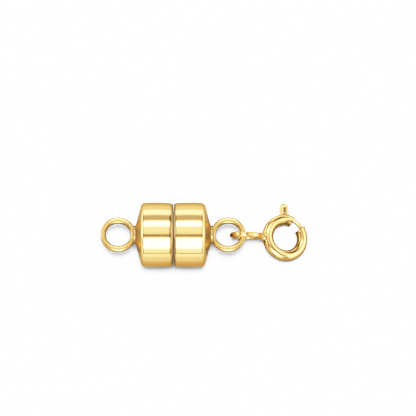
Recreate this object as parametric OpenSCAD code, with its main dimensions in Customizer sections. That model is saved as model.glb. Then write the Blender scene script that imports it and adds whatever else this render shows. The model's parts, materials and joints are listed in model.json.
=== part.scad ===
// Magnetic clasp: a barrel in two magnetic halves, with a spring ring linked to its right eye.
// The clasp lies on its side on a flat surface at z = 0, with +X towards the spring ring.
// All sizes are in millimetres and all angles in degrees.

/* [Barrel] */
// Diameter of the barrel
barrel_d = 7; // [6:0.1:10]
// Length of the left half, from its rim to its collar
left_len = 4.05; // [3.7:0.05:8]
// Length of the right half, from its rim to its collar
right_len = 3.97; // [3.7:0.05:8]
// Thickness of the stamped shells
shell_wall = 0.3; // [0.28:0.01:0.45]
// Slope of the coned ends, from flat
end_slope = 15; // [6:1:20]
// Diameter of the flat in the middle of each coned end
end_flat_d = 2.3; // [2.2:0.05:3]
// Radius of the left half's shoulder
left_shoulder = 0.33; // [0.1:0.01:1]
// Radius of the right half's shoulder
right_shoulder = 0.5; // [0.1:0.01:1]
// How much the side of each half swells in its middle
crown = 0.05; // [0.02:0.01:0.1]

/* [Seam] */
// Gap between the two rims when the clasp is shut
seam_gap = 0.06; // [0.02:0.01:0.2]
// Width of the rounding of the left rim
left_rim = 0.5; // [0.2:0.05:0.7]
// Width of the rounding of the right rim
right_rim = 0.35; // [0.2:0.05:0.7]
// Depth of both roundings at the seam
rim_drop = 0.14; // [0.05:0.01:0.16]

/* [Magnets] */
// Thickness of each disc magnet
magnet_t = 2.5; // [1:0.1:2.6]
// Clearance round a magnet in its shell
magnet_clear = 0.04; // [0.01:0.01:0.2]
// How far a magnet's face lies behind its shell's rim
magnet_inset = 0.04; // [0.02:0.01:0.1]
// Chamfer on a magnet's edges
magnet_edge = 0.12; // [0.05:0.01:0.3]

/* [End eyes] */
// Diameter of the collar under each eye
collar_d = 2; // [1.6:0.05:2.15]
// Thickness of the collar
collar_t = 0.3; // [0.2:0.02:0.6]
// Chamfer on the collar's two edges
collar_edge = 0.08; // [0.02:0.01:0.09]
// Outer diameter of each eye
eye_d = 3.86; // [3.4:0.02:5]
// Wire diameter of each eye
eye_wire = 0.74; // [0.6:0.02:0.9]
// Depth of the flat on which each eye sits
eye_flat = 0.3; // [0.16:0.02:0.4]
// Depth to which soldered pieces run into each other
solder_lap = 0.05; // [0.02:0.01:0.1]

/* [Link] */
// Outer length of the link
link_len = 3.6; // [3.45:0.05:5]
// Outer height of the link, which stands on edge
link_h = 3.1; // [2.8:0.05:3.3]
// Wire diameter of the link
link_wire = 0.64; // [0.56:0.02:0.7]
// Play between the link and the eye's wire where it hangs
link_clear = 0.03; // [0.02:0.01:0.08]
// How far the link is drawn outwards from where it would hang
link_drawn = 0.13; // [0:0.01:0.3]
// Distance between the link's end and the spring ring, which the joint fills
link_off = 0.15; // [0.05:0.01:0.4]
// Lean of the link on its joint, from square to the spring ring, with its upper side away from the lever
link_lean = 7.5; // [-5:0.5:10]
// Length of the soldered joint between the link and the spring ring
neck_len = 0.6; // [0.5:0.05:1]
// Diameter of that joint
neck_d = 0.86; // [0.74:0.02:0.96]
// Radius of the flare where the joint meets the spring ring
flare_r = 0.35; // [0.2:0.01:0.5]
// Thickness of the flare
flare_t = 1; // [0.98:0.02:1.1]
// How much a wire's surface draws in at a bend
bend_thin = 0.01; // [0.005:0.005:0.02]

/* [Spring ring] */
// Outer diameter of the spring ring
ring_d = 5.2; // [4.6:0.1:8]
// Diameter of its tube
tube_d = 1.2; // [1.1:0.05:1.4]
// Wall of its tube
tube_wall = 0.1; // [0.06:0.01:0.14]
// Width of the gap that the bolt closes, in the middle of the tube
gap_w = 1.24; // [0.9:0.02:1.4]
// Angle by which each side of the gap opens outwards
gap_flare = 9; // [0:1:12]
// Direction of the gap, from the ring's far side
gap_at = 48; // [42:1:52]
// Roll of the spring ring, from level towards its lever
ring_roll = 5; // [0:0.5:10]

/* [Trigger] */
// Diameter of the bolt's wire
bolt_wire = 0.42; // [0.32:0.02:0.46]
// Clearance between the bolt and the tube
bolt_clear = 0.03; // [0.02:0.01:0.08]
// How deep the bolt's tip reaches into the tube
bolt_lap = 0.45; // [0.2:0.05:0.8]
// How much further than the gap the bolt draws back
bolt_over = 0.06; // [0.02:0.02:0.2]
// Direction of the lever, from the ring's far side
lever_at = 90; // [86:1:98]
// How far the lever stands out of the ring
lever_out = 1.23; // [0.9:0.05:2]
// Slit between the lever's two legs
lever_slit = 0.16; // [0.06:0.02:0.3]
// Inner radius of the bends at the foot of the lever
bend_inside = 0.05; // [0.03:0.01:0.15]
// Length of the tail behind the lever
tail_len = 0.4; // [0.2:0.05:0.8]
// Clearance round the lever in its slot
slot_clear = 0.05; // [0.03:0.01:0.12]

/* [Hidden] */
$fn = 96;

gold = [0.93, 0.75, 0.38];
plated = [0.78, 0.78, 0.8];
// Distance by which a cut runs past the solid that it cuts
past = 1;

barrel_r = barrel_d / 2;
side_r = barrel_r - crown;
bore_r = barrel_r - shell_wall;
cone_h = (side_r - end_flat_d / 2) * tan(end_slope);
eye_r = (eye_d - eye_wire) / 2;
// From a collar's face to the middle of its eye
eye_seat = eye_d / 2 - eye_flat;

tube_r = tube_d / 2;
tube_bore_r = tube_r - tube_wall;
ring_r = (ring_d - tube_d) / 2;
link_r = (link_h - link_wire) / 2;

// The bolt's wire runs along the outer side of the tube's bore
bolt_r = ring_r + tube_bore_r - bolt_wire / 2 - bolt_clear;
gap_half_at = asin((gap_w / 2 + (bolt_r - ring_r) * tan(gap_flare)) / bolt_r);
bolt_tip_at = gap_at - gap_half_at - bolt_lap / bolt_r * 180 / PI;
// Angle through which the trigger turns to open the gap
trigger_travel = gap_at + gap_half_at + bolt_over / bolt_r * 180 / PI - bolt_tip_at;

// The lever's two legs run side by side, and each turns into the tube through a bend
leg_x = (lever_slit + bolt_wire) / 2;
bend_r = bend_inside + bolt_wire / 2;
bend_x = leg_x + bend_r;
bend_y = sqrt(pow(bolt_r + bend_r, 2) - pow(bend_x, 2));
bend_at = atan2(bend_y, bend_x);
lever_top_y = ring_d / 2 + lever_out - bolt_wire / 2 - leg_x;
tail_at = tail_len / bolt_r * 180 / PI;
slot_w = bolt_wire + 2 * slot_clear;
lever_half_at = asin((leg_x + bolt_wire / 2 + slot_clear) / (ring_d / 2 - tube_d / 4));
slot_end_at = lever_at + trigger_travel + lever_half_at;

// The link's far round end hangs on the wire of the right eye, and the spring ring slopes down from there until
// its far side rests on the surface. Its slope solves reach_sq * s * s - 2 * fall_reach * s + fall_sq = 0, where
// s is the sine of ring_tilt
hang = sqrt(pow(link_h / 2 - link_wire - eye_wire / 2 - link_clear, 2) - pow(link_drawn, 2));
link_reach = ring_d / 2 + link_off + link_len - link_h / 2;
ring_fall = barrel_r - hang - tube_r;
fall_reach = ring_fall * link_reach;
fall_sq = pow(ring_fall, 2) - pow(ring_r * sin(ring_roll), 2);
reach_sq = pow(link_reach, 2) - pow(ring_r * cos(ring_roll), 2);
ring_tilt = asin((fall_reach - sqrt(pow(fall_reach, 2) - reach_sq * fall_sq)) / reach_sq);
ring_z = barrel_r - hang - link_reach * sin(ring_tilt);
ring_half_x = ring_r * sqrt(1 - pow(sin(ring_tilt) * cos(ring_roll), 2)) + tube_r;
seam_to_link = seam_gap / 2 + right_len + collar_t + eye_seat + eye_r + link_drawn;
seam_to_ring = seam_to_link + link_reach * cos(ring_tilt);
right_end = seam_to_ring + ring_half_x;
left_end = seam_gap / 2 + left_len + collar_t + eye_seat + eye_d / 2;
// The seam's place, with x = 0 in the middle of the whole clasp
seam_x = (left_end - right_end) / 2;

// Straight steps in each round stretch of a half's outline
arc_steps = 8;

function arc_points(centre, r, from, to) = [
    for (i = [0 : arc_steps]) let (at = from + (to - from) * i / arc_steps)
        centre + r * [cos(at), sin(at)]
];
function wall_top(len) = len - cone_h;
function rim_r(rim) = (rim * rim + rim_drop * rim_drop) / (2 * rim_drop);

// Slice of a disc between two directions under 120 degrees apart
module slice(r, from, to) {
    intersection() {
        circle(r);
        polygon([[0, 0], 2 * r * [cos(from), sin(from)], 2 * r * [cos(to), sin(to)]]);
    }
}

// Outline of a half of the barrel from its axis out, with its rim at y = 0
module cup_outline(len, shoulder, rim) {
    rim_c = [side_r - rim_r(rim), rim];
    turn = 90 - end_slope;
    shoulder_c = [side_r - shoulder, wall_top(len) - shoulder * tan(turn / 2)];
    side = shoulder_c[1] - rim;
    polygon(concat(
        [[0, 0]],
        arc_points(rim_c, rim_r(rim), -asin(rim / rim_r(rim)), 0),
        [for (i = [1 : arc_steps - 1]) let (t = i / arc_steps)
            [side_r + crown * 4 * t * (1 - t), rim + side * t]],
        arc_points(shoulder_c, shoulder, 0, turn),
        [[end_flat_d / 2, len], [0, len]]
    ));
}

// Hollow of a half, open at its rim
module cup_hollow(len) {
    cone_drop = shell_wall / cos(end_slope);
    polygon([
        [0, -past],
        [bore_r, -past],
        [bore_r, wall_top(len) - cone_drop + (side_r - bore_r) * tan(end_slope)],
        [end_flat_d / 2, len - cone_drop],
        [0, len - cone_drop],
    ]);
}

// Collar disc with chamfered edges, standing on y = 0
module collar_outline() {
    r = collar_d / 2;
    polygon([
        [0, -solder_lap],
        [r - collar_edge, -solder_lap],
        [r - collar_edge, 0],
        [r, collar_edge],
        [r, collar_t - collar_edge],
        [r - collar_edge, collar_t],
        [0, collar_t],
    ]);
}

// Wire eye on a collar whose face is at z = 0
module end_eye() {
    difference() {
        translate([0, 0, eye_seat])
            rotate([0, 90, 0])
                rotate_extrude() translate([eye_r, 0]) circle(d = eye_wire);
        translate([-eye_d / 2, -eye_d / 2, -solder_lap - eye_d]) cube(eye_d);
    }
}

// A half of the barrel with its collar and eye, along +Z from its rim
module cup(len, shoulder, rim) {
    rotate_extrude() {
        difference() {
            cup_outline(len, shoulder, rim);
            cup_hollow(len);
        }
        translate([0, len]) collar_outline();
    }
    translate([0, 0, len + collar_t]) end_eye();
}

// Disc magnet, along +Z from the plane of its shell's rim
module magnet() {
    r = bore_r - magnet_clear;
    translate([0, 0, magnet_inset])
        rotate_extrude()
            polygon([
                [0, 0],
                [r - magnet_edge, 0],
                [r, magnet_edge],
                [r, magnet_t - magnet_edge],
                [r - magnet_edge, magnet_t],
                [0, magnet_t],
            ]);
}

// Turns a half that points along +Z to the left or the right of the seam
module to_left() {
    translate([seam_x - seam_gap / 2, 0, barrel_r]) rotate([0, -90, 0]) children();
}

module to_right() {
    translate([seam_x + seam_gap / 2, 0, barrel_r]) rotate([0, 90, 0]) children();
}

// Lays the spring ring's own frame, with its centre at 0 and its far side on +X, down on the surface
module to_ring() {
    translate([seam_x + seam_to_ring, 0, ring_z])
        rotate([0, ring_tilt, 0]) rotate([-ring_roll, 0, 0]) children();
}

// Soldered joint on the back of the spring ring: a round bead on a flare, with its foot inside the tube
module neck() {
    back = tube_r / 2 + solder_lap;
    flare_from = back - tube_r / 4;
    intersection() {
        translate([back - ring_d / 2, 0, 0])
            rotate([0, -90, 0])
                rotate_extrude() {
                    square([neck_d / 2, back + neck_len - neck_d / 2]);
                    translate([0, back + neck_len - neck_d / 2]) slice(neck_d / 2, 0, 90);
                    difference() {
                        square([neck_d / 2 + flare_r, flare_from + flare_r]);
                        translate([neck_d / 2 + flare_r, flare_from + flare_r]) circle(flare_r);
                    }
                }
        translate([-2 * ring_d, -ring_d, -flare_t / 2]) cube([2 * ring_d, 2 * ring_d, flare_t]);
    }
}

// Piece of wire that follows an arc of the given radius
module wire_arc(wire, r, from, to) {
    rotate([0, 0, from])
        rotate_extrude(angle = to - from)
            translate([r, 0]) circle(d = wire);
}

// Tight bend in a wire, where it is slimmer, with both ends inside the wire that it joins
module wire_bend(wire, r, from, to) {
    lap_at = bend_thin / r * 180 / PI;
    wire_arc(wire - 2 * bend_thin, r, from - lap_at, to + lap_at);
}

// Long link standing on edge, with its near end just off the spring ring
module link() {
    straight = link_len - link_h;
    translate([-link_reach, 0, 0]) rotate([90 + link_lean, 0, 0]) {
        wire_bend(link_wire, link_r, 90, 270);
        translate([straight, 0, 0]) wire_bend(link_wire, link_r, -90, 90);
        for (side = [-1, 1])
            translate([0, side * link_r, 0])
                rotate([0, 90, 0]) cylinder(d = link_wire, h = straight);
    }
}

module left_cup() {
    color(gold) to_left() cup(left_len, left_shoulder, left_rim);
}

module right_cup() {
    color(gold) to_right() cup(right_len, right_shoulder, right_rim);
}

module left_magnet() {
    color(plated) to_left() magnet();
}

module right_magnet() {
    color(plated) to_right() magnet();
}

// Gap across the tube, which opens outwards
module ring_gap() {
    out = ring_d / 2 + past;
    in_half = gap_w / 2 - ring_r * tan(gap_flare);
    out_half = in_half + out * tan(gap_flare);
    rotate([0, 0, gap_at])
        translate([0, 0, -tube_d])
            linear_extrude(2 * tube_d)
                polygon([[0, -in_half], [out, -out_half], [out, out_half], [0, in_half]]);
}

// Slot in the tube's outer side, from the gap to where the open lever stands
module lever_slot() {
    rotate([0, 0, gap_at])
        rotate_extrude(angle = slot_end_at - gap_at)
            translate([ring_r, -slot_w / 2]) square([tube_r + past, slot_w]);
}

module spring_ring() {
    color(gold) to_ring() difference() {
        union() {
            rotate_extrude() translate([ring_r, 0]) circle(tube_r);
            neck();
            link();
        }
        rotate_extrude() translate([ring_r, 0]) circle(tube_bore_r);
        ring_gap();
        lever_slot();
    }
}

// One side of the trigger: the wire along the tube from the given angle, a bend, and a leg of the lever
module lever_side(run_at) {
    wire_arc(bolt_wire, bolt_r, run_at, bend_at);
    translate([bend_x, bend_y, 0]) wire_bend(bolt_wire, bend_r, 180, 180 + bend_at);
    translate([leg_x, bend_y, 0])
        rotate([-90, 0, 0]) cylinder(d = bolt_wire, h = lever_top_y - bend_y);
}

module trigger() {
    color(gold) to_ring() rotate([0, 0, lever_at - 90]) {
        lever_side(bolt_tip_at + 90 - lever_at);
        mirror([1, 0, 0]) lever_side(bend_at - tail_at);
        translate([0, lever_top_y, 0]) wire_bend(bolt_wire, leg_x, 0, 180);
    }
}

left_cup();
left_magnet();
right_cup();
right_magnet();
spring_ring();
trigger();
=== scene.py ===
"""Dresses the packed magnetic clasp: polished gold shells and wire eyes, a tubular spring ring with its link
and trigger, plated magnets, and the pale table, soft lights and camera around them.

Each shape is drawn in millimetres in the frame in which it is easiest to turn or to bend, and is then laid in
place, in metres, where the packed model says.
"""

import json
import math
from collections import namedtuple
from types import SimpleNamespace

import bmesh
import bpy
from bpy.props import FloatProperty, FloatVectorProperty, PointerProperty
from mathutils import Matrix, Vector


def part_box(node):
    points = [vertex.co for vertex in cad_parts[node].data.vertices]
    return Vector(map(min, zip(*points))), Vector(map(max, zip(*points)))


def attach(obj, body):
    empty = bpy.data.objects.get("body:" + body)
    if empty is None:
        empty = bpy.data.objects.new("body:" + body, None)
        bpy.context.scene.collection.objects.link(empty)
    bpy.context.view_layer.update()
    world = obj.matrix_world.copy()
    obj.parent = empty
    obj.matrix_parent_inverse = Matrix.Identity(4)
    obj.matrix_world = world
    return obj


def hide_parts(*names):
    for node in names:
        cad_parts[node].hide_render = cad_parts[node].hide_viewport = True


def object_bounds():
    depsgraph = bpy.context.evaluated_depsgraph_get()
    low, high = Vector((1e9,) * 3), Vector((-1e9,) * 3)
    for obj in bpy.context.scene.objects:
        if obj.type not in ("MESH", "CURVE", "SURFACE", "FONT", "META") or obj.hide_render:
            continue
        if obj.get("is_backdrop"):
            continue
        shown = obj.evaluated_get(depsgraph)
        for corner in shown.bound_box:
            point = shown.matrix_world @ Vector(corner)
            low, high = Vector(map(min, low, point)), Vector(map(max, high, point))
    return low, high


bl_info = {
    "name": "Magnetic clasp",
    "version": (1, 0, 0),
    "blender": (4, 5, 0),
    "location": "View3D > Sidebar > Clasp",
    "description": "Models a barrel magnetic clasp with its spring ring around its packed frame",
    "category": "Object",
}

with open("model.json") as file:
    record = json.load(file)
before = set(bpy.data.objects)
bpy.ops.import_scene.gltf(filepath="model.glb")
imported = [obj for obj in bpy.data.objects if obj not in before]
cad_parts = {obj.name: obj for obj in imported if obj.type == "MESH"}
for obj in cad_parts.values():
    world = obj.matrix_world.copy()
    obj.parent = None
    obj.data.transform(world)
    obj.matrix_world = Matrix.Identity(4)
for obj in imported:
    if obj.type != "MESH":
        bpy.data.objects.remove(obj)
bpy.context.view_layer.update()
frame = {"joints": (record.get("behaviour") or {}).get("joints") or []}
MM = 0.001

# Smoothness of the meshes: the largest turn and the longest stretch of one step in a bend
BEND_STEP = math.radians(7)
BEND_CHORD = 0.16
# Extra vertices this close to a straight's ends keep its shading flat
HOLD = 0.03
# Points closer together than this are one point
TOUCH = 1e-4
# Sides of a wire, and steps once round each turned shape
WIRE_SIDES = 40
BARREL_STEPS = 288
MAGNET_STEPS = 192
EYE_STEPS = 160
CORE_STEPS = 128
NECK_STEPS = 96
# The tube's steps: round its section, across its slot, and the turn of one step along it
SECTION_STEPS = 44
SLOT_STEPS = 8
TUBE_STEP = math.radians(2)
# Edges that turn by more than these are shaded as sharp ones, or are broken
SHARP = math.radians(38)
BROKEN = math.radians(40)


def length(name, description, millimetres):
    """A size of the clasp, given in millimetres and kept in metres."""
    return FloatProperty(
        name=name, description=description, default=millimetres * MM, min=0, unit="LENGTH", precision=5
    )


def angle(name, description, degrees):
    """A direction or slope, given in degrees and kept in radians."""
    return FloatProperty(
        name=name, description=description, default=math.radians(degrees), unit="ROTATION"
    )


def colour(name, description, rgb):
    """A surface's colour, in linear light."""
    return FloatVectorProperty(
        name=name, description=description, default=rgb, size=3, min=0, max=1, subtype="COLOR"
    )


def share(name, description, value, top=1.0):
    """A plain number from nothing to top."""
    return FloatProperty(name=name, description=description, default=value, min=0, max=top, precision=3)


class ClaspBarrel(bpy.types.PropertyGroup):
    """Sizes of the two halves of the barrel and their eyes."""

    left_len: length("Left half", "Length of the left half from its rim to its collar", 4.05)
    right_len: length("Right half", "Length of the right half from its rim to its collar", 3.97)
    side_r: length("Side radius", "Radius of the barrel's side at its ends", 3.45)
    bore_r: length("Bore radius", "Inner radius of the shells", 3.2)
    crown: length("Crown", "How much the side of each half swells in its middle", 0.05)
    swell_r: length("Swell radius", "Radius of that swell at its top", 16)
    wall: length("Wall", "Thickness of the stamped shells", 0.3)
    end_slope: angle("End slope", "Slope of the coned ends, from flat", 15)
    flat_r: length("End flat", "Radius of the flat in the middle of each coned end", 1.15)
    left_shoulder: length("Left shoulder", "Radius of the left half's shoulder", 0.4)
    right_shoulder: length("Right shoulder", "Radius of the right half's shoulder", 0.5)
    left_rim: length("Left rim", "Width of the rounding of the left rim", 0.5)
    right_rim: length("Right rim", "Width of the rounding of the right rim", 0.35)
    rim_drop: length("Rim drop", "Depth of both roundings at the seam", 0.14)
    lip: length("Lip", "Radius to which the rims' edges are broken", 0.025)
    collar_r: length("Collar radius", "Radius of the collar under each eye", 1.0)
    collar_t: length("Collar", "Thickness of the collar", 0.3)
    collar_edge: length("Collar edge", "Radius of the collar's outer edge", 0.08)
    fillet: length("Solder", "Radius of the solder between the collar and its cone", 0.09)
    dome: length("Solder dome", "Height of the solder that rises to the eye's foot", 0.09)
    dome_foot: share("Dome foot", "Where that solder starts to rise, as a share of the collar's radius", 0.8)
    dome_top: share("Dome top", "Where it has risen, as a share of the collar's radius", 0.45)
    eye_r: length("Eye radius", "Radius of the eye to the middle of its wire", 1.56)
    eye_seat: length("Eye seat", "From the collar's face to the middle of its eye", 1.63)
    eye_wire: length("Eye wire", "Wire diameter of each eye", 0.74)
    eye_sunk: length("Eye depth", "How deep the eye's wire ends below the collar's face", 0.06)
    eye_press: share("Eye press", "How much slimmer the wire is in line with the barrel", 0.17)
    eye_square: share("Eye flattening", "Power of the wire's section: 2 is round, more is flatter", 2.7, 8)


class ClaspMagnet(bpy.types.PropertyGroup):
    """Sizes of the two disc magnets."""

    radius: length("Radius", "Radius of each disc magnet", 3.16)
    thickness: length("Thickness", "Thickness of each disc magnet", 2.5)
    inset: length("Inset", "How far a magnet's face lies behind its shell's rim", 0.04)
    edge: length("Edge", "Radius of a magnet's edges", 0.12)


class ClaspRing(bpy.types.PropertyGroup):
    """Sizes of the spring ring, its link and its trigger."""

    ring_r: length("Ring radius", "Radius of the spring ring to the middle of its tube", 2.0)
    tube_r: length("Tube radius", "Outer radius of the tube", 0.6)
    bore_r: length("Tube bore", "Inner radius of the tube", 0.5)
    gap_w: length("Gap", "Width of the gap in the middle of the tube", 1.24)
    gap_flare: angle("Gap flare", "Angle by which each side of the gap opens outwards", 9)
    gap_at: angle("Gap direction", "Direction of the gap from the ring's far side", 48)
    slot_clear: length("Slot clearance", "Clearance round the lever in its slot", 0.05)
    mouth: length("Mouth lip", "How far the bolt's mouth is belled out", 0.06)
    mouth_len: length("Mouth length", "Length of the belled stretch of the tube", 0.3)
    edge: length("Tube edge", "Radius to which the tube's edges are broken", 0.022)
    link_reach: length("Link reach", "From the ring's middle to the link's far centre", 4.8)
    link_r: length("Link radius", "Radius of the link's round ends to the middle of its wire", 1.23)
    link_straight: length("Link straight", "Length of the link's straight sides", 0.5)
    link_wire: length("Link wire", "Wire diameter of the link", 0.64)
    link_lean: angle("Link lean", "Lean of the link on its joint, away from the lever", 7.5)
    neck_r: length("Neck radius", "Radius of the soldered joint behind the ring", 0.43)
    neck_len: length("Neck length", "Length of that joint", 0.6)
    flare_r: length("Flare radius", "Radius of the flare where the joint meets the ring", 0.35)
    flare_t: length("Flare thickness", "Thickness of the flare across the ring", 0.94)
    bolt_r: length("Bolt radius", "Radius on which the bolt runs in the tube", 2.26)
    bolt_wire: length("Bolt wire", "Diameter of the bolt's wire", 0.42)
    bolt_lap: length("Bolt lap", "How deep the bolt's tip reaches into the tube", 0.45)
    bolt_over: length("Bolt overrun", "How much further than the gap the bolt draws back", 0.06)
    lever_at: angle("Lever direction", "Direction of the lever from the ring's far side", 90)
    leg_x: length("Leg", "From the lever's middle to the middle of each leg", 0.29)
    leg_press: length("Leg press", "How far the legs' inner sides are pressed towards each other", 0.075)
    foot_r: length("Lever foot", "Radius of the bends at the foot of the lever", 0.26)
    lever_top: length("Lever top", "From the ring's middle out to the hairpin's centre", 3.33)
    tail_len: length("Tail", "Length of the tail behind the lever", 0.4)


class ClaspFinish(bpy.types.PropertyGroup):
    """Colours and polish of the metals."""

    gold: colour("Gold", "Polished gold plating", (0.86, 0.485, 0.158))
    gold_deep: colour("Deep gold", "The plating where it is a little redder", (0.843, 0.452, 0.134))
    solder: colour("Solder", "The plating over the soldered joints", (0.44, 0.28, 0.1))
    edge_tint: colour("Edge tint", "Tint of the plating where it is seen at a slant", (0.95, 0.78, 0.5))
    # Painted shade: a darker gold blended in on the eyes, the collars, the spring ring's inner side and outer
    # edge, and the trigger's underside
    painted_shade: colour("Shaded gold", "The plating on collars and wires, barely wiped", (0.33, 0.195, 0.05))
    frosted: colour("Frosted gold", "The plating on the coned ends, less polished", (0.8, 0.59, 0.33))
    # Painted shade: a dark brown blended in at the seam's rims, the roots of the collars and eyes, the ends
    # of the ring's gap and the slit between the lever's legs, which the same mark also makes rougher
    dull_and_painted_shade: colour("Dull gold", "The plating in seams and slits, never wiped", (0.1, 0.062, 0.026))
    nickel: colour("Nickel", "Nickel plating of the magnets", (0.66, 0.645, 0.61))
    polish: share("Polish", "Roughness of the polished plating", 0.085)
    satin: share("Satin", "How much rougher the coned ends are", 0.2)
    solder_rough: share("Solder roughness", "Roughness of the soldered joints", 0.27)
    dull_rough: share("Dull roughness", "How much rougher the plating in seams and slits is", 0.22)
    nickel_rough: share("Nickel roughness", "Roughness of the magnets' faces", 0.24)


class ClaspStage(bpy.types.PropertyGroup):
    """Camera, lights and table."""

    view_width: length("View width", "Width of the view at the barrel's axis", 45.14)
    view_x: length("View across", "From the part's origin right to the middle of the view", 0.416)
    view_y: length("View along", "From the part's origin back to the middle of the view", 2.935)
    elevation: angle("Elevation", "Height of the camera above the table", 81.5)
    distance: FloatProperty(
        name="Distance", description="From the camera to the barrel", default=0.7, min=0.1, unit="LENGTH"
    )
    table: colour("Table", "The table as the camera sees it", (0.88, 0.88, 0.885))
    # The table as the metal reflects it is a darker copy of the table, with a painted shadow round the clasp
    # and painted light that brightens the far table
    table_glow: colour("Table glow", "The table as the metal reflects it", (0.43, 0.422, 0.41))
    table_painted_shadow: colour("Table close by", "The same where the clasp stands in its light", (0.2, 0.178, 0.135))
    glow_short: length("Glow line", "How far short of the clasp's ends the line of its dimming stops", 2.3)
    glow_near: length("Glow start", "How far from that line the dimming begins to fade", 4.5)
    glow_far: length("Glow end", "How far from that line the table is bright again", 19)
    horizon: share("Horizon", "How much brighter the metal reflects the far table than the near", 1.5, 4)
    horizon_near: length("Horizon start", "How far from that line the far table begins", 38)
    horizon_far: length("Horizon end", "How far from that line it is at its brightest", 95)
    lamp: share("Lamp", "Strength of the lamp over the table", 9.2, 100)
    lamp_size: angle("Lamp size", "How wide the lamp looks from the table", 15)
    lamp_back: angle("Lamp direction", "How far the lamp stands behind the clasp", 1.3)


def in_mm(group):
    """A group's values, with every length in millimetres."""
    values = {}
    for key in group.__annotations__:
        value = getattr(group, key)
        values[key] = value / MM if group.bl_rna.properties[key].unit == "LENGTH" else value
    return SimpleNamespace(**values)


def only(parts, kind):
    """Those parts of a shape that are of one kind, such as its vertices."""
    return [part for part in parts if isinstance(part, kind)]


def rotate(bm, by, axis, verts=None):
    """Turns a shape, or some of its vertices, about an axis through the origin."""
    bmesh.ops.rotate(bm, cent=(0, 0, 0), matrix=Matrix.Rotation(by, 3, axis), verts=verts or bm.verts)


class Track:
    """Draws a shape in one plane by moving its end, a vertex or a ring of edges, ahead and round bends."""

    def __init__(self, bm, end, at, normal):
        self.bm = bm
        self.end = list(end)
        self.at = Vector(at)
        self.normal = Vector(normal)
        self.heading = None

    def _spin(self, centre, turn, steps, shift=(0, 0, 0)):
        made = bmesh.ops.spin(
            self.bm,
            geom=self.end,
            cent=centre,
            axis=self.normal,
            dvec=shift,
            angle=turn,
            steps=steps,
            use_merge=False,
            use_normal_flip=False,
            use_duplicate=False,
        )
        self.end = made["geom_last"]

    def ahead(self, distance):
        """Moves the end straight on, with vertices close to both ends of the stretch."""
        holds = [HOLD, distance - 2 * HOLD, HOLD] if distance > 4 * HOLD else [distance]
        for stretch in holds:
            self._spin(self.at, 0, 1, self.heading * stretch)
            self.at = self.at + self.heading * stretch

    def bend(self, radius, turn):
        """Moves the end round a bend, to the left of its heading where turn is more than 0."""
        steps = max(2, math.ceil(abs(turn) / BEND_STEP), math.ceil(abs(turn) * radius / BEND_CHORD))
        side = self.normal.cross(self.heading) * math.copysign(radius, turn)
        centre = self.at + side
        self._spin(centre, turn, steps)
        spun = Matrix.Rotation(turn, 3, self.normal)
        self.at = centre - spun @ side
        self.heading = spun @ self.heading

    def outline(self, corners):
        """Moves the end past corners, each a point and the radius to which it is rounded."""
        points = [Vector(point) for point, _ in corners]
        for number, (point, (_, radius)) in enumerate(zip(points, corners)):
            self.heading = (point - self.at).normalized()
            if number == len(points) - 1 or radius == 0:
                self.ahead((point - self.at).length)
                continue
            onwards = (points[number + 1] - point).normalized()
            turn = math.atan2(self.heading.cross(onwards).dot(self.normal), self.heading.dot(onwards))
            cut = radius * math.tan(abs(turn) / 2)
            straight = (point - self.at).length - cut
            if straight > TOUCH:
                self.ahead(straight)
            self.bend(radius, turn)

    def ring_verts(self):
        """The vertices of the end."""
        return only(self.end, bmesh.types.BMVert)

    def narrow(self, distance, before, after):
        """Moves the end straight on while its radius changes from one value to another."""
        self._spin(self.at, 0, 1, self.heading * distance)
        self.at = self.at + self.heading * distance
        bmesh.ops.scale(
            self.bm,
            vec=(after / before,) * 3,
            space=Matrix.Translation(-self.at),
            verts=self.ring_verts(),
        )

    def round_off(self, radius, steps=8):
        """Closes a wire's end with half a ball."""
        nearly_closed = 0.02
        was = 0
        for step in range(1, steps):
            now = step / steps * math.pi / 2
            self.narrow(
                radius * (math.sin(now) - math.sin(was)), radius * math.cos(was), radius * math.cos(now)
            )
            was = now
        self.narrow(radius * (1 - math.sin(was)), radius * math.cos(was), radius * nearly_closed)
        bmesh.ops.pointmerge(self.bm, verts=self.ring_verts(), merge_co=self.at)


def wire_start(bm, at, heading, normal, radius):
    """A ring of edges square to a heading, from which a wire is drawn."""
    heading, normal = Vector(heading).normalized(), Vector(normal)
    turned = Matrix((normal.cross(heading), normal, heading)).transposed().to_4x4()
    made = bmesh.ops.create_circle(
        bm,
        cap_ends=False,
        radius=radius,
        segments=WIRE_SIDES,
        matrix=Matrix.Translation(at) @ turned,
    )
    verts = made["verts"]
    edges = {edge for vert in verts for edge in vert.link_edges}
    track = Track(bm, verts + list(edges), at, normal)
    track.heading = heading
    return track


def turned_shape(corners, steps):
    """A closed shell turned round the Z axis, from an outline that starts and ends on that axis."""
    bm = bmesh.new()
    start = (corners[0][0][0], 0, corners[0][0][1])
    vert = bm.verts.new(start)
    track = Track(bm, [vert], start, (0, -1, 0))
    track.outline([((x, 0, z), radius) for (x, z), radius in corners[1:]])
    bmesh.ops.spin(
        bm,
        geom=bm.verts[:] + bm.edges[:],
        cent=(0, 0, 0),
        axis=(0, 0, 1),
        angle=2 * math.pi,
        steps=steps,
        use_merge=True,
    )
    return closed(bm)


def closed(bm):
    """Merges doubles and turns every face outwards."""
    bmesh.ops.remove_doubles(bm, verts=bm.verts, dist=TOUCH)
    bmesh.ops.recalc_face_normals(bm, faces=bm.faces)
    return bm


def ring_wire(radius, wire, axis, steps, centre=(0, 0, 0)):
    """A round ring of wire about an axis through a centre."""
    bm = bmesh.new()
    axis = Vector(axis)
    out = axis.orthogonal().normalized()
    track = wire_start(bm, Vector(centre) + out * radius, axis.cross(out), axis, wire / 2)
    bmesh.ops.spin(
        bm, geom=track.end, cent=centre, axis=axis, angle=2 * math.pi, steps=steps, use_merge=True
    )
    return closed(bm)


def placed(name, data):
    """A new object in the scene."""
    thing = bpy.data.objects.new(name, data)
    bpy.context.scene.collection.objects.link(thing)
    return thing


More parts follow.
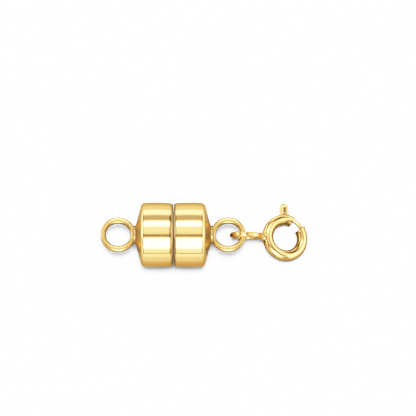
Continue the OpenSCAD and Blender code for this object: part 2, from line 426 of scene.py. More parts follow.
def meshed(name, bm):
    """A new object in the scene from a shape, which is used up."""
    mesh = bpy.data.meshes.new(name)
    bm.to_mesh(mesh)
    bm.free()
    return placed(name, mesh)


def boolean(first, second, operation):
    """One shell from two that overlap: both are used up."""
    shapes = [meshed("draft", bm) for bm in (first, second)]
    cut = shapes[0].modifiers.new("Cut", "BOOLEAN")
    cut.operation = operation
    cut.solver = "EXACT"
    cut.object = shapes[1]
    result = bmesh.new()
    result.from_object(shapes[0], bpy.context.evaluated_depsgraph_get())
    for shape in shapes:
        mesh = shape.data
        bpy.data.objects.remove(shape)
        bpy.data.meshes.remove(mesh)
    return result


def soften(bm, picked, rounds=4, factor=0.5):
    """Lets the vertices that a test picks flow together, as solder does."""
    verts = [vert for vert in bm.verts if picked(vert.co)]
    for _ in range(rounds):
        bmesh.ops.smooth_vert(
            bm, verts=verts, factor=factor, use_axis_x=True, use_axis_y=True, use_axis_z=True
        )


def finished(name, bm, place, node, body, slot, material, **marks):
    """Lays a shape in place in metres, as one piece that stands for a packed node.

    Each mark is a function that gives a point's share of what the material calls by that name.
    """
    for mark, amount in marks.items():
        layer = bm.verts.layers.float.new(mark)
        for vert in bm.verts:
            vert[layer] = amount(vert.co)
    bmesh.ops.transform(bm, matrix=place @ Matrix.Scale(MM, 4), verts=bm.verts)
    piece = meshed(name, bm)
    piece.data.shade_smooth()
    piece.data.set_sharp_from_angle(angle=SHARP)
    piece.data.materials.append(material)
    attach(piece, body)
    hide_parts(node)


def half_place(node, side):
    """Where a half stands whose own +Z points from the seam: side is -1 for the left one, 1 for the right."""
    low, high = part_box(node)
    rim = high.x if side < 0 else low.x
    middle = Matrix.Translation((rim, 0, (low.z + high.z) / 2))
    return middle @ Matrix.Rotation(side * math.pi / 2, 4, "Y")


def ring_place():
    """The spring ring's own frame: its far side on +X and its axis on +Z."""
    joint = next(joint for joint in frame["joints"] if joint["name"] == "bolt_draw")
    normal = Vector(joint["axis"]).normalized()
    far = Vector((0, 1, 0)).cross(normal).normalized()
    place = Matrix((far, normal.cross(far), normal)).transposed().to_4x4()
    place.translation = Vector(joint["pos_m"])
    return place


def fade(distance, near, far):
    """1 up to the near distance, 0 from the far one, and smooth between, with all three in millimetres."""
    t = min(max((far - distance) / (far - near), 0), 1)
    return t * t * (3 - 2 * t)


def off_axis(co):
    """How far a point lies from the Z axis."""
    return math.hypot(co.x, co.y)


def off_direction(co, direction):
    """The angle round the Z axis between a point and a direction."""
    return abs((math.atan2(co.y, co.x) - direction + math.pi) % (2 * math.pi) - math.pi)


class Signal:
    """A value that changes over a surface, in which sums are written."""

    def __init__(self, paint, socket):
        self.paint = paint
        self.socket = socket

    def calc(self, operation, *others):
        """This value, and others where the operation takes them, put through one Math node."""
        values = dict(enumerate((self, *others)))
        return self.paint.add("ShaderNodeMath", {"operation": operation}, values)

    def __add__(self, other):
        return self.calc("ADD", other)

    def __sub__(self, other):
        return self.calc("SUBTRACT", other)

    def __mul__(self, other):
        return self.calc("MULTIPLY", other)

    def __pow__(self, other):
        return self.calc("POWER", other)

    def __rsub__(self, other):
        return self.paint.add("ShaderNodeMath", {"operation": "SUBTRACT"}, {0: other, 1: self})

    __radd__ = __add__
    __rmul__ = __mul__


class Paint:
    """The nodes of one material or of the world."""

    def __init__(self, owner):
        owner.use_nodes = True
        self.tree = owner.node_tree
        self.tree.nodes.clear()

    def add(self, kind, settings, inputs, output=0):
        """Adds a node, sets it and gives its sockets values or links. Returns one of its outputs."""
        node = self.tree.nodes.new(kind)
        for key, value in settings.items():
            setattr(node, key, value)
        for key, value in inputs.items():
            if isinstance(value, Signal):
                self.tree.links.new(value.socket, node.inputs[key])
            else:
                node.inputs[key].default_value = value
        return Signal(self, node.outputs[output]) if node.outputs else None

    def parts(self, vector):
        """The three parts of a vector."""
        first = self.add("ShaderNodeSeparateXYZ", {}, {0: vector})
        return [Signal(self, socket) for socket in first.socket.node.outputs]

    def mark(self, name):
        """A mark that a piece carries, as its share at each point."""
        return self.add("ShaderNodeAttribute", {"attribute_name": name}, {}, 2)

    def ramp(self, value, low, high, to_low=0.0, to_high=1.0):
        """A smooth step from one value to another."""
        return self.add(
            "ShaderNodeMapRange",
            {"interpolation_type": "SMOOTHSTEP"},
            {"Value": value, "From Min": low, "From Max": high, "To Min": to_low, "To Max": to_high},
        )

    def blend(self, factor, first, second):
        """A mix of two colours."""
        colours = {
            key: value if isinstance(value, Signal) else (*value, 1.0)
            for key, value in ((6, first), (7, second))
        }
        return self.add("ShaderNodeMix", {"data_type": "RGBA"}, {0: factor, **colours}, 2)

    def noise(self, coordinates, scale, detail=2.0, roughness=0.5):
        """Cloudy noise, about 0.5 on average."""
        return self.add(
            "ShaderNodeTexNoise",
            {},
            {"Vector": coordinates, "Scale": scale, "Detail": detail, "Roughness": roughness},
        )

    def place(self, coordinates, scale=(1, 1, 1), rotation=(0, 0, 0)):
        """Coordinates that are turned and stretched."""
        return self.add(
            "ShaderNodeMapping", {}, {"Vector": coordinates, "Scale": scale, "Rotation": rotation}
        )


def bump(paint, height, distance, strength=1.0, normal=None):
    """A surface that rises and falls with a value, by a distance in metres."""
    sockets = {"Height": height, "Distance": distance, "Strength": strength}
    if normal:
        sockets["Normal"] = normal
    return paint.add("ShaderNodeBump", {}, sockets)


def hairlines(paint, coordinates):
    """Fine straight scratches from wiping, in three directions, about 1 along each."""
    found = []
    for rotation in ((0, 0.2, 0.3), (0.4, 0.2, 1.25), (0.8, 0.2, 2.4)):
        along = paint.place(coordinates, scale=(5200, 260, 2600), rotation=rotation)
        found.append(paint.ramp(paint.noise(along, 1.0, 1.0), 0.67, 0.74))
    return found[0] + found[1] + found[2]


def metal(paint, tinted, rough, normal, edge_tint=(1, 1, 1)):
    """The shader of a bare metal, as the material's surface."""
    shader = paint.add(
        "ShaderNodeBsdfPrincipled",
        {},
        {
            "Base Color": tinted,
            "Metallic": 1.0,
            "Roughness": rough,
            "Normal": normal,
            "Specular Tint": (*edge_tint, 1.0),
        },
    )
    paint.add("ShaderNodeOutputMaterial", {}, {"Surface": shader})


def gold_material(finish):
    """Polished gold plating with the marks of wiping, frosted on the cones, with painted shade on collars and
    wires and darker painted shade in seams and slits.

    The scales of its noise are in repeats per metre.
    """
    material = bpy.data.materials.new("polished_gold")
    paint = Paint(material)
    coordinates = paint.add("ShaderNodeTexCoord", {}, {}, 3)
    solder, satin, painted_shade, dull_and_painted_shade = (paint.mark(name) for name in ("solder", "satin", "painted_shade", "dull_and_painted_shade"))
    clouds = paint.ramp(paint.noise(coordinates, 420, 3.0), 0.35, 0.68)
    grain = paint.noise(coordinates, 16000, 3.0, 0.6)
    lumps = paint.noise(coordinates, 5200, 2.0)
    lines = hairlines(paint, coordinates)
    plated = paint.blend(clouds, finish.gold, finish.gold_deep)
    plated = paint.blend(satin, plated, finish.frosted)
    # Painted shade: darker gold on the eyes, collars, the ring's inner side and the trigger's underside
    plated = paint.blend(painted_shade, plated, finish.painted_shade)
    plated = paint.blend(0.8 * solder, plated, finish.solder)
    on_solder = (finish.solder_rough - finish.polish) * (0.7 + 0.6 * grain)
    worn = 0.035 * clouds + 0.03 * lines
    rough = finish.polish + worn + finish.satin * satin + finish.dull_rough * dull_and_painted_shade + solder * on_solder
    waves = bump(paint, paint.noise(coordinates, 650, 1.0), 1.2e-6)
    scratched = bump(paint, 0.35 * grain + 0.3 * lines, 1.6e-7, normal=waves)
    normal = bump(paint, solder * (lumps + 0.25 * grain), 6e-6, normal=scratched)
    # Painted shade: dark brown in seams, corners and slits, where the same mark also adds roughness
    metal(paint, paint.blend(dull_and_painted_shade, plated, finish.dull_and_painted_shade), rough, normal, finish.edge_tint)
    return material


def nickel_material(finish):
    """Bright nickel plating with a ground face and faint stains, with its noise in repeats per metre."""
    material = bpy.data.materials.new("bright_nickel")
    paint = Paint(material)
    coordinates = paint.add("ShaderNodeTexCoord", {}, {}, 3)
    stains = paint.ramp(paint.noise(coordinates, 900, 4.0, 0.6), 0.5, 0.75)
    ground = paint.noise(paint.place(coordinates, scale=(1, 14, 1)), 2600, 3.0)
    grain = paint.noise(coordinates, 14000, 3.0, 0.6)
    lines = hairlines(paint, coordinates)
    tinted = paint.blend(0.5 * stains, finish.nickel, [0.82 * part for part in finish.nickel])
    rough = finish.nickel_rough + 0.1 * stains + 0.05 * grain + 0.05 * lines
    metal(paint, tinted, rough, bump(paint, ground + 0.3 * grain + 0.4 * lines, 1.5e-6))
    return material


def material_named(name, make, finish):
    """A material that several pieces share."""
    return bpy.data.materials.get(name) or make(finish)


def cup_shape(sizes, half_len, shoulder, rim):
    """One half of the barrel, along +Z from its rim: shell, collar, solder and eye."""
    slope = math.tan(sizes.end_slope)
    inner_drop = sizes.wall / math.cos(sizes.end_slope)
    roof_bend = 0.1
    bore_bend = 0.12
    foot_bend = 0.2
    dome_bend = 0.3

    def cone_z(radius):
        return half_len - (radius - sizes.flat_r) * slope

    side_top = cone_z(sizes.side_r)
    face = half_len + sizes.collar_t
    rim_r = (rim**2 + sizes.rim_drop**2) / (2 * sizes.rim_drop)
    # The rim's arc and the swell are a little shorter than their room, so that the bends beside them fit in
    bm = turned_shape(
        [
            ((0, half_len - inner_drop), 0),
            ((sizes.flat_r, half_len - inner_drop), roof_bend),
            ((sizes.bore_r, cone_z(sizes.bore_r) - inner_drop), bore_bend),
            ((sizes.bore_r, 0), sizes.lip),
            ((sizes.side_r - sizes.rim_drop, 0), sizes.lip),
            ((sizes.side_r, 0.48 * rim), 0.9 * rim_r),
            ((sizes.side_r + 2 * sizes.crown, (rim + side_top - 0.7 * shoulder) / 2), sizes.swell_r),
            ((sizes.side_r, side_top), shoulder),
            ((sizes.collar_r, cone_z(sizes.collar_r)), sizes.fillet),
            ((sizes.collar_r, face), sizes.collar_edge),
            ((sizes.collar_r * sizes.dome_foot, face), foot_bend),
            ((sizes.collar_r * sizes.dome_top, face + sizes.dome), dome_bend),
            ((0, face + sizes.dome), 0),
        ],
        BARREL_STEPS,
    )
    bm = boolean(bm, eye_shape(sizes, face), "UNION")
    solder_top = face + 0.22
    solder_half = sizes.eye_wire / 2 + 0.2

    def at_foot(co):
        return face - 0.01 < co.z < solder_top and abs(co.x) < solder_half

    soften(bm, at_foot, rounds=3)
    return bm


def eye_shape(sizes, face):
    """A wire eye, pressed a little slimmer in line with the barrel, and cut off inside its collar."""
    middle = face + sizes.eye_seat
    power = sizes.eye_square
    bm = ring_wire(sizes.eye_r, sizes.eye_wire, (1, 0, 0), EYE_STEPS, (0, 0, middle))
    for vert in bm.verts:
        out = Vector((0, vert.co.y, vert.co.z - middle))
        heading = out.normalized()
        core = heading * sizes.eye_r
        press = 1 - sizes.eye_press * heading.z**2
        high, wide = abs(vert.co.x), (out - core).length
        square = math.hypot(high, wide) / (high**power + wide**power) ** (1 / power)
        # The outer side of the pressed wire stays in its place
        held = heading * (1 - press) * sizes.eye_wire / 2
        moved = core + (out - core) * square * press + held
        vert.co = (vert.co.x * square, moved.y, middle + moved.z)
    bmesh.ops.bisect_plane(
        bm,
        geom=bm.verts[:] + bm.edges[:] + bm.faces[:],
        dist=1e-5,
        plane_co=(0, 0, face - sizes.eye_sunk),
        plane_no=(0, 0, -1),
        clear_outer=True,
    )
    bmesh.ops.holes_fill(bm, edges=[edge for edge in bm.edges if edge.is_boundary])
    return closed(bm)


def cup_marks(sizes, half_len, shoulder):
    """Where a half is soldered, satin, darkened by painted shade, and dull with painted shade in its
    crevices: each function gives the share at a point.
    """
    face = half_len + sizes.collar_t
    middle = face + sizes.eye_seat
    eye_leaves = 1.1

    def solder(co):
        eye_foot = fade(abs(co.z - face), 0.14, 0.34) * fade(off_axis(co), 0.95, 1.3)
        collar_root = fade(abs(co.z - half_len), 0.1, 0.2) * fade(off_axis(co), 1.02, 1.15)
        return max(eye_foot, collar_root)

    def satin(co):
        below_collar = fade(co.z, half_len - 0.05, half_len + 0.05)
        above_side = 1 - fade(co.z, half_len - 0.8, half_len - 0.6)
        on_cone = fade(off_axis(co), sizes.side_r - shoulder, sizes.side_r - 0.3 * shoulder)
        return on_cone * (below_collar + above_side - 1)

    # Painted shade: half strength over the eye and collar, full on the eye's inner and outer sides and on the
    # collar
    def painted_shade(co):
        across = math.hypot(co.y, co.z - middle) - sizes.eye_r
        inner_side = 0.5 * (1 - fade(-across, -0.05, 0.22))
        outer_side = 0.35 * (1 - fade(across, 0.16, 0.34))
        collar = 0.5 * fade(co.z, face, face + 0.15)
        past_cone = 1 - fade(co.z, half_len - 0.02, half_len + 0.08)
        return past_cone * (0.5 + max(inner_side + outer_side, collar))

    # Painted shade, with more roughness: dark at the seam's rim, the root of the collar and the foot of the
    # eye
    def dull_and_painted_shade(co):
        out = off_axis(co)
        rim = 0.9 * fade(co.z, 0.1, 0.34) * fade(out, sizes.side_r - 0.02, sizes.side_r + 0.05)
        collar_root = fade(abs(co.z - half_len), 0.04, 0.14) * fade(abs(out - sizes.collar_r), 0.1, 0.22)
        eye_foot = fade(abs(co.z - face), 0.05, 0.16) * fade(abs(out - eye_leaves), 0.1, 0.24)
        return max(rim, 0.6 * collar_root, 0.6 * eye_foot)

    return {"solder": solder, "satin": satin, "painted_shade": painted_shade, "dull_and_painted_shade": dull_and_painted_shade}


class CLASP_OT_cups(bpy.types.Operator):
    """Model both halves of the barrel, each with its collar and its wire eye"""

    bl_idname = "clasp.cups"
    bl_label = "Barrel halves"

    def execute(self, context):
        sizes = in_mm(context.scene.clasp_barrel)
        material = material_named("polished_gold", gold_material, context.scene.clasp_finish)
        halves = (
            ("left", -1, sizes.left_len, sizes.left_shoulder, sizes.left_rim),
            ("right", 1, sizes.right_len, sizes.right_shoulder, sizes.right_rim),
        )
        for name, side, half_len, shoulder, rim in halves:
            finished(
                f"{name}_shell",
                cup_shape(sizes, half_len, shoulder, rim),
                half_place(f"{name}_cup", side),
                f"{name}_cup",
                f"{name}_half",
                "gold",
                material,
                **cup_marks(sizes, half_len, shoulder),
            )
        return {"FINISHED"}


class CLASP_OT_magnets(bpy.types.Operator):
    """Model the plated disc magnet in each half"""

    bl_idname = "clasp.magnets"
    bl_label = "Magnets"

    def execute(self, context):
        sizes = in_mm(context.scene.clasp_magnet)
        material = material_named("bright_nickel", nickel_material, context.scene.clasp_finish)
        top = sizes.inset + sizes.thickness
        for name, side in (("left", -1), ("right", 1)):
            bm = turned_shape(
                [
                    ((0, sizes.inset), 0),
                    ((sizes.radius, sizes.inset), sizes.edge),
                    ((sizes.radius, top), sizes.edge),
                    ((0, top), 0),
                ],
                MAGNET_STEPS,
            )
            finished(
                f"{name}_disc",
                bm,
                half_place(f"{name}_cup", side),
                f"{name}_magnet",
                f"{name}_half",
                "magnet",
                material,
            )
        return {"FINISHED"}


def arc_edges(bm, vert, centre, turn, steps):
    """Draws an arc of edges in the XZ plane. Returns them and the last vertex."""
    before = set(bm.edges)
    made = bmesh.ops.spin(
        bm, geom=[vert], cent=centre, axis=(0, -1, 0), angle=turn, steps=steps, use_duplicate=False
    )
    last = only(made["geom_last"], bmesh.types.BMVert)[0]
    return [edge for edge in bm.edges if edge not in before], last


def bolt_reach(sizes):
    """The directions of the bolt's resting tip and of the end of its lever's slot."""
    half_gap = sizes.gap_w / 2 + (sizes.bolt_r - sizes.ring_r) * math.tan(sizes.gap_flare)
    half_gap_at = math.asin(half_gap / sizes.bolt_r)
    tip_at = sizes.gap_at - half_gap_at - sizes.bolt_lap / sizes.bolt_r
    travel = sizes.gap_at + half_gap_at + sizes.bolt_over / sizes.bolt_r - tip_at
    half_lever = sizes.leg_x + sizes.bolt_wire / 2 + sizes.slot_clear
    return tip_at, sizes.lever_at + travel + math.asin(half_lever / (sizes.ring_r + sizes.tube_r / 2))


def tube_shape(sizes):
    """The spring ring's tube, with its gap, its slot for the lever and its belled mouth."""
    bm = bmesh.new()
    centre = Vector((sizes.ring_r, 0, 0))
    half_slot = sizes.bolt_wire / 2 + sizes.slot_clear
    slot_end_at = bolt_reach(sizes)[1]
    long_arcs, short_arcs, corners = [], [], []
    for radius in (sizes.tube_r, sizes.bore_r):
        opening = math.asin(half_slot / radius)
        start = bm.verts.new(centre + Vector((radius * math.cos(opening), 0, half_slot)))
        long_arc, end = arc_edges(bm, start, centre, 2 * math.pi - 2 * opening, SECTION_STEPS)
        short_arc, spare = arc_edges(bm, start, centre, -2 * opening, SLOT_STEPS)
        bmesh.ops.weld_verts(bm, targetmap={spare: end})
        short_arc = [edge for edge in short_arc if edge.is_valid]
        short_arc += [edge for edge in end.link_edges if edge not in long_arc and edge not in short_arc]
        long_arcs += long_arc
        short_arcs += short_arc
        corners.append((start, end))
    slot_sides = [bm.edges.new(pair) for pair in zip(*corners)]

    def wall(edges, by):
        verts = dict.fromkeys(vert for edge in edges for vert in edge.verts)
        made = bmesh.ops.spin(
            bm,
            geom=list(verts) + edges,
            cent=(0, 0, 0),
            axis=(0, 0, 1),
            angle=by,
            steps=math.ceil(abs(by) / TUBE_STEP),
            use_duplicate=False,
        )
        return made["geom_last"]

    in_half = sizes.gap_w / 2 - sizes.ring_r * math.tan(sizes.gap_flare)

    def gap_side(reach):
        return sizes.gap_flare + math.asin(in_half * math.cos(sizes.gap_flare) / reach)

    middle_at = gap_side(sizes.ring_r)
    plain = wall(long_arcs + short_arcs, 2 * math.pi + sizes.gap_at - middle_at - slot_end_at)
    slotted = wall(long_arcs + slot_sides, sizes.gap_at + middle_at - slot_end_at)
    bell_mouth(bm, sizes, sizes.gap_at - middle_at - slot_end_at)
    for end, way in ((plain, -1), (slotted, 1)):
        for vert in only(end, bmesh.types.BMVert):
            rotate(bm, way * (gap_side(off_axis(vert.co)) - middle_at), "Z", [vert])
        edges = only(end, bmesh.types.BMEdge)
        bmesh.ops.bridge_loops(bm, edges=[edge for edge in edges if same_wall(edge, sizes)])
    bmesh.ops.bridge_loops(bm, edges=short_arcs)
    rotate(bm, slot_end_at, "Z")
    closed(bm)
    bmesh.ops.bevel(
        bm,
        geom=[edge for edge in bm.edges if edge.calc_face_angle(0) > BROKEN],
        offset=sizes.edge,
        offset_type="OFFSET",
        segments=3,
        profile=0.5,
        affect="EDGES",
        material=-1,
    )
    return closed(bm)


def from_core(co, sizes):
    """How far a point lies from the middle of the tube."""
    return math.hypot(off_axis(co) - sizes.ring_r, co.z)


def same_wall(edge, sizes):
    """Whether an edge runs round one wall of the tube, and not from one to the other."""
    middle = (sizes.tube_r + sizes.bore_r) / 2
    first, second = (from_core(vert.co, sizes) > middle for vert in edge.verts)
    return first == second


def bell_mouth(bm, sizes, mouth_at):
    """Spreads the end of the tube into which the bolt closes."""
    for vert in bm.verts:
        away = off_direction(vert.co, mouth_at) * sizes.ring_r
        grow = sizes.mouth * fade(away, 0, sizes.mouth_len)
        core = Vector((vert.co.x, vert.co.y, 0)).normalized() * sizes.ring_r
        vert.co += (vert.co - core).normalized() * grow


def neck_shape(sizes):
    """The soldered joint behind the spring ring: a round bead that flares out over the tube."""
    # The flare starts inside the tube and ends where the tube's side curves away
    foot = sizes.ring_r + 0.42 * sizes.tube_r
    flare_z = sizes.ring_r + 0.72 * sizes.tube_r
    flare_edge = 0.02
    wide = sizes.neck_r + sizes.flare_r
    top = sizes.ring_r + sizes.tube_r + sizes.neck_len
    bm = turned_shape(
        [
            ((0, foot), 0),
            ((wide, foot), 0),
            ((wide, flare_z), flare_edge),
            ((sizes.neck_r, flare_z), 0.9 * sizes.flare_r),
            ((sizes.neck_r, top), 0.9 * sizes.neck_r),
            ((0, top), 0),
        ],
        NECK_STEPS,
    )
    thin = (sizes.flare_t / 2 - sizes.neck_r) / sizes.flare_r
    for vert in bm.verts:
        out = off_axis(vert.co)
        if out > sizes.neck_r:
            vert.co.x *= (sizes.neck_r + (out - sizes.neck_r) * thin) / out
    rotate(bm, -math.pi / 2, "Y")
    core = ring_wire(sizes.ring_r, sizes.tube_r + sizes.bore_r, (0, 0, 1), CORE_STEPS)
    return boolean(bm, core, "DIFFERENCE")


def link_shape(sizes):
    """The link behind the spring ring, standing on edge and leaning on its joint."""
    bm = bmesh.new()
    at = Vector((-sizes.link_reach, 0, sizes.link_r))
    track = wire_start(bm, at, (1, 0, 0), (0, -1, 0), sizes.link_wire / 2)
    for _ in range(2):
        track.ahead(sizes.link_straight)
        track.bend(sizes.link_r, -math.pi)
    rotate(bm, sizes.link_lean, "X")
    return closed(bm)


def ring_marks(sizes, joint):
    """Where the spring ring is soldered, darkened by painted shade, and dull with painted shade at its gap:
    each function gives the share at a point.
    """

    def solder(co):
        return fade((co - joint).length, 0.55, 0.95)

    # Painted shade: a little everywhere, and the ring darker on its inner side, at its outer edge and near
    # the joint
    def painted_shade(co):
        across = off_axis(co) - sizes.ring_r
        inner_side = 0.75 * (1 - fade(-across, 0, 0.32))
        outer_side = 0.1 + 0.4 * (1 - fade(across, 0.34, 0.58)) * fade(across, 0.7, 0.8)
        return 0.15 + max(inner_side, outer_side, 0.3 * fade((co - joint).length, 0.6, 1.0))

    # Painted shade, with more roughness, at both ends of the gap
    def dull_and_painted_shade(co):
        reach = off_axis(co)
        past_gap = abs(off_direction(co, sizes.gap_at) * reach - sizes.gap_w / 2)
        on_tube = reach > sizes.ring_r - sizes.tube_r - 0.1
        return 0.75 * fade(past_gap, 0.06, 0.16) * on_tube

    return {"solder": solder, "painted_shade": painted_shade, "dull_and_painted_shade": dull_and_painted_shade}


class CLASP_OT_spring_ring(bpy.types.Operator):
    """Model the spring ring's tube with its soldered link"""

    bl_idname = "clasp.spring_ring"
    bl_label = "Spring ring"

    def execute(self, context):
        sizes = in_mm(context.scene.clasp_ring)
        bm = boolean(tube_shape(sizes), neck_shape(sizes), "UNION")
        bm = boolean(bm, link_shape(sizes), "UNION")
        joint = Vector((-sizes.ring_r - sizes.tube_r - sizes.neck_len / 3, 0, 0))
        solder_r = 0.52
        solder_rim = 0.25

        def at_joint(co):
            on_rim = abs((co - joint).length - solder_r) < solder_rim
            return on_rim and from_core(co, sizes) > 0.97 * sizes.tube_r

        soften(bm, at_joint, rounds=3)
        finished(
            "spring_ring_tube",
            bm,
            ring_place(),
            "spring_ring",
            "right_half",
            "gold",
            material_named("polished_gold", gold_material, context.scene.clasp_finish),
            **ring_marks(sizes, joint),
        )
        return {"FINISHED"}


def trigger_shape(sizes):
    """The bolt, the hairpin lever and the tail behind it, bent from one wire with the lever on +Y."""
    radius = sizes.bolt_wire / 2
    foot_x = sizes.leg_x + sizes.foot_r
    foot_y = math.sqrt((sizes.bolt_r + sizes.foot_r) ** 2 - foot_x**2)
    foot_at = math.atan2(foot_y, foot_x)
    start = bolt_reach(sizes)[0] + radius / sizes.bolt_r - (sizes.lever_at - math.pi / 2)
    at = Vector((math.cos(start), math.sin(start), 0)) * sizes.bolt_r
    heading = Vector((-math.sin(start), math.cos(start), 0))
    bm = bmesh.new()
    track = wire_start(bm, at, heading, (0, 0, 1), radius)
    tip = Track(bm, track.end, at, (0, 0, 1))
    tip.heading = -heading
    tip.round_off(radius)
    track.bend(sizes.bolt_r, foot_at - start)
    track.bend(sizes.foot_r, -foot_at)
    track.ahead(sizes.lever_top - foot_y)
    track.bend(sizes.leg_x, math.pi)
    track.ahead(sizes.lever_top - foot_y)
    track.bend(sizes.foot_r, -foot_at)
    track.bend(sizes.bolt_r, (sizes.tail_len - radius) / sizes.bolt_r)
    track.round_off(radius)
    for vert in bm.verts:
        inside = max(0, sizes.leg_x - abs(vert.co.x)) / radius
        press = sizes.leg_press * inside * (1 - fade(vert.co.y, foot_y, foot_y + 0.3))
        vert.co.x -= math.copysign(min(press, abs(vert.co.x)), vert.co.x)

    # Painted shade: the wire darker on its underside than on its top
    def painted_shade(co):
        return 1 - 0.7 * fade(-co.z, -0.15, 0.03)

    # Painted shade, with more roughness, in the slit between the lever's legs, from its foot to its top
    def dull_and_painted_shade(co):
        at = Matrix.Rotation(math.pi / 2 - sizes.lever_at, 3, "Z") @ co
        between_legs = fade(abs(at.x), sizes.leg_x - 0.8 * radius, sizes.leg_x - 0.4 * radius)
        past_foot = 1 - fade(at.y, foot_y - 0.1, foot_y + 0.2)
        return between_legs * past_foot * fade(at.y, sizes.lever_top - 0.1, sizes.lever_top + 0.15)

    return closed(bm), {"painted_shade": painted_shade, "dull_and_painted_shade": dull_and_painted_shade}


class CLASP_OT_trigger(bpy.types.Operator):
    """Model the sliding bolt and its hairpin lever from one wire"""

    bl_idname = "clasp.trigger"
    bl_label = "Trigger"

    def execute(self, context):
        sizes = in_mm(context.scene.clasp_ring)
        bm, marks = trigger_shape(sizes)
        rotate(bm, sizes.lever_at - math.pi / 2, "Z")
        finished(
            "trigger_wire",
            bm,
            ring_place(),
            "trigger",
            "trigger",
            "gold",
            material_named("polished_gold", gold_material, context.scene.clasp_finish),
            **marks,
        )
        return {"FINISHED"}


def add_camera(stage):
    """A long lens over the table, at the angle from which the clasp was photographed."""
    low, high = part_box("left_cup")
    aim = Vector((stage.view_x, stage.view_y, (low.z + high.z) / 2))
    up = Vector((0, math.sin(stage.elevation), math.cos(stage.elevation)))
    back = Vector((0, -math.cos(stage.elevation), math.sin(stage.elevation)))
    data = bpy.data.cameras.new("camera")
    data.sensor_width = 36
    data.lens = data.sensor_width * stage.distance / stage.view_width
    data.clip_start = 0.01
    camera = placed("camera", data)
    facing = Matrix((Vector((1, 0, 0)), up, back)).transposed().to_4x4()
    camera.matrix_world = Matrix.Translation(aim + back * stage.distance) @ facing
    bpy.context.scene.camera = camera


def add_table(stage):
    """A plain pale table, brighter to the camera than in the metal's reflections, where it carries a painted
    shadow round the clasp and painted light far off.
    """
    # The part's box is taken before the table is there
    line_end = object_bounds()[1][0] - stage.glow_short
    half_width = 1.5
    bm = bmesh.new()
    bmesh.ops.create_grid(bm, x_segments=1, y_segments=1, size=half_width)
    table = meshed("table", bm)
    material = bpy.data.materials.new("table_top")
    paint = Paint(material)
    seen = paint.add("ShaderNodeLightPath", {}, {}, 0)
    coordinates = paint.add("ShaderNodeTexCoord", {}, {}, 3)
    along, across, _ = paint.parts(coordinates)
    past_end = (along.calc("ABSOLUTE") - line_end).calc("MAXIMUM", 0.0)
    away = (past_end * past_end + across * across) ** 0.5
    # Painted shadow round the clasp and painted light on the far table, seen only in the metal's reflections
    glow = paint.blend(paint.ramp(away, stage.glow_near, stage.glow_far), stage.table_painted_shadow, stage.table_glow)
    horizon = [stage.horizon * part for part in stage.table_glow]
    glow = paint.blend(paint.ramp(away, stage.horizon_near, stage.horizon_far), glow, horizon)
    shader = paint.add("ShaderNodeBsdfDiffuse", {}, {"Color": paint.blend(seen, glow, stage.table)})
    paint.add("ShaderNodeOutputMaterial", {}, {"Surface": shader})
    table.data.materials.append(material)
    table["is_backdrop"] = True


# A softbox, reflector or dark gap of the light tent, as seen from the clasp. over is its extent in degrees,
# from over the clasp towards the back: from, to, and how soft its edges are. right is its extent to the right
# in the same way, and amount is its brightness, or the share of the light that a gap takes.
Patch = namedtuple("Patch", "name over right amount")
LAMPS = (
    Patch("key box", (-58, -21, 4), (-28, 28, 7), 13.0),
    Patch("back box", (23, 42, 3), (-24, 24, 7), 9.3),
    Patch("top panel", (-3, 24, 7), (-40, 40, 10), 1.1),
    Patch("front reflector", (-95, -62, 4), (-65, 65, 10), 1.4),
    Patch("back reflector", (70, 95, 4), (-65, 65, 10), 2.7),
    Patch("left reflector", (-25, 75, 10), (-88, -38, 5), 4.0),
    Patch("right reflector", (-55, 70, 10), (40, 84, 5), 3.6),
)
GAPS = (
    Patch("lens opening", (-15, -6.5, 1.8), (-60, 60, 10), 0.7),
    Patch("front seam", (-81, -76.5, 1.2), (-75, 75, 10), 0.85),
    Patch("back panel", (46, 66, 5), (-75, 75, 10), 0.4),
    Patch("left corner", (-88, 80, 6), (-34, -13, 4), 0.8),
    Patch("right corner", (-88, 80, 6), (13, 34, 4), 0.8),
)
# Brightness of the tent's cloth, and the colour of its light
TENT = 1.33
TENT_COLOUR = (1, 0.985, 0.96, 1)
# Light that fills the shadows on the table
FILL = {"Color": (0.96, 0.98, 1.02, 1), "Strength": 0.82}
# The room behind the table, as the camera sees it
ROOM = {"Color": (0.93, 0.935, 0.95, 1), "Strength": 1.6}


def add_light(stage):
    """A light tent with softboxes for the metal, and one lamp over the table for the shadows."""
    world = bpy.data.worlds.new("light_tent")
    bpy.context.scene.world = world
    world.cycles.sampling_method = "NONE"
    bpy.context.scene.cycles.caustics_reflective = False
    paint = Paint(world)
    across, back, up = paint.parts(paint.add("ShaderNodeTexCoord", {}, {}, 0))
    over = back.calc("ARCTAN2", up) * math.degrees(1)
    right = across.calc("ARCSINE") * math.degrees(1)

    def window(value, low, high, soft):
        opens = paint.ramp(value, low - soft, low + soft)
        return opens * paint.ramp(value, high - soft, high + soft, 1.0, 0.0)

    light = TENT
    for box in LAMPS:
        light = box.amount * window(over, *box.over) * window(right, *box.right) + light
    for gap in GAPS:
        light = light * (1 - gap.amount * window(over, *gap.over) * window(right, *gap.right))
    seen, to_table = (paint.add("ShaderNodeLightPath", {}, {}, output) for output in (0, 2))
    room = paint.add("ShaderNodeBackground", {}, ROOM)
    tent = paint.add("ShaderNodeBackground", {}, {"Color": TENT_COLOUR, "Strength": light})
    fill = paint.add("ShaderNodeBackground", {}, FILL)
    lit = paint.add("ShaderNodeMixShader", {}, {0: to_table, 1: tent, 2: fill})
    both = paint.add("ShaderNodeMixShader", {}, {0: seen, 1: lit, 2: room})
    paint.add("ShaderNodeOutputWorld", {}, {"Surface": both})
    data = bpy.data.lights.new("lamp", "SUN")
    data.energy = stage.lamp
    data.angle = stage.lamp_size
    lamp = placed("lamp", data)
    lamp.rotation_euler = (-stage.lamp_back, 0, 0)
    lamp.visible_glossy = False


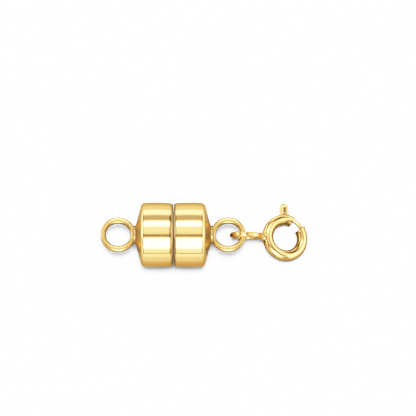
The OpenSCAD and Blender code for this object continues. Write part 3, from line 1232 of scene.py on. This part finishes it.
def set_film():
    """A soft shoulder on the tones above a knee, as a camera gives them, with everything else straight."""
    view = bpy.context.scene.view_settings
    view.view_transform = "Standard"
    view.look = "None"
    view.use_curve_mapping = True
    curves = view.curve_mapping
    white, knee, ease = 4.0, 0.53, 0.6345
    curves.clip_max_x = white
    curves.white_level = (white,) * 3
    curves.extend = "HORIZONTAL"
    curve = curves.curves[3]
    for level in (knee, 0.7, 0.9, 1.15, 1.5, 2.0, 2.7):
        curve.points.new(level / white, knee + (1 - knee) * (1 - math.exp((knee - level) / ease)))
    curves.update()


class CLASP_OT_stage(bpy.types.Operator):
    """Set the camera, the light tent and the pale table"""

    bl_idname = "clasp.stage"
    bl_label = "Stage"

    def execute(self, context):
        stage = context.scene.clasp_stage
        add_camera(stage)
        add_table(stage)
        add_light(stage)
        set_film()
        return {"FINISHED"}


OPERATORS = (CLASP_OT_stage, CLASP_OT_cups, CLASP_OT_magnets, CLASP_OT_spring_ring, CLASP_OT_trigger)
GROUPS = {
    "clasp_barrel": ClaspBarrel,
    "clasp_magnet": ClaspMagnet,
    "clasp_ring": ClaspRing,
    "clasp_finish": ClaspFinish,
    "clasp_stage": ClaspStage,
}


class CLASP_PT_pieces(bpy.types.Panel):
    """The clasp's sizes, finishes and pieces"""

    bl_idname = "CLASP_PT_pieces"
    bl_label = "Magnetic clasp"
    bl_space_type = "VIEW_3D"
    bl_region_type = "UI"
    bl_category = "Clasp"

    def draw(self, context):
        for operator in OPERATORS:
            self.layout.operator(operator.bl_idname)
        for name, group in GROUPS.items():
            box = self.layout.box()
            box.label(text=group.__doc__)
            for key in group.__annotations__:
                box.prop(getattr(context.scene, name), key)


def register():
    """Makes the groups, operators and panel known."""
    for cls in (*GROUPS.values(), *OPERATORS, CLASP_PT_pieces):
        bpy.utils.register_class(cls)
    for name, group in GROUPS.items():
        setattr(bpy.types.Scene, name, PointerProperty(type=group))


def unregister():
    """Takes the groups, operators and panel out again."""
    for name in GROUPS:
        delattr(bpy.types.Scene, name)
    for cls in reversed((*GROUPS.values(), *OPERATORS, CLASP_PT_pieces)):
        bpy.utils.unregister_class(cls)


def main():
    """Makes the whole scene."""
    register()
    bpy.ops.clasp.stage()
    bpy.ops.clasp.cups()
    bpy.ops.clasp.magnets()
    bpy.ops.clasp.spring_ring()
    bpy.ops.clasp.trigger()


if __name__ == "__main__":
    main()
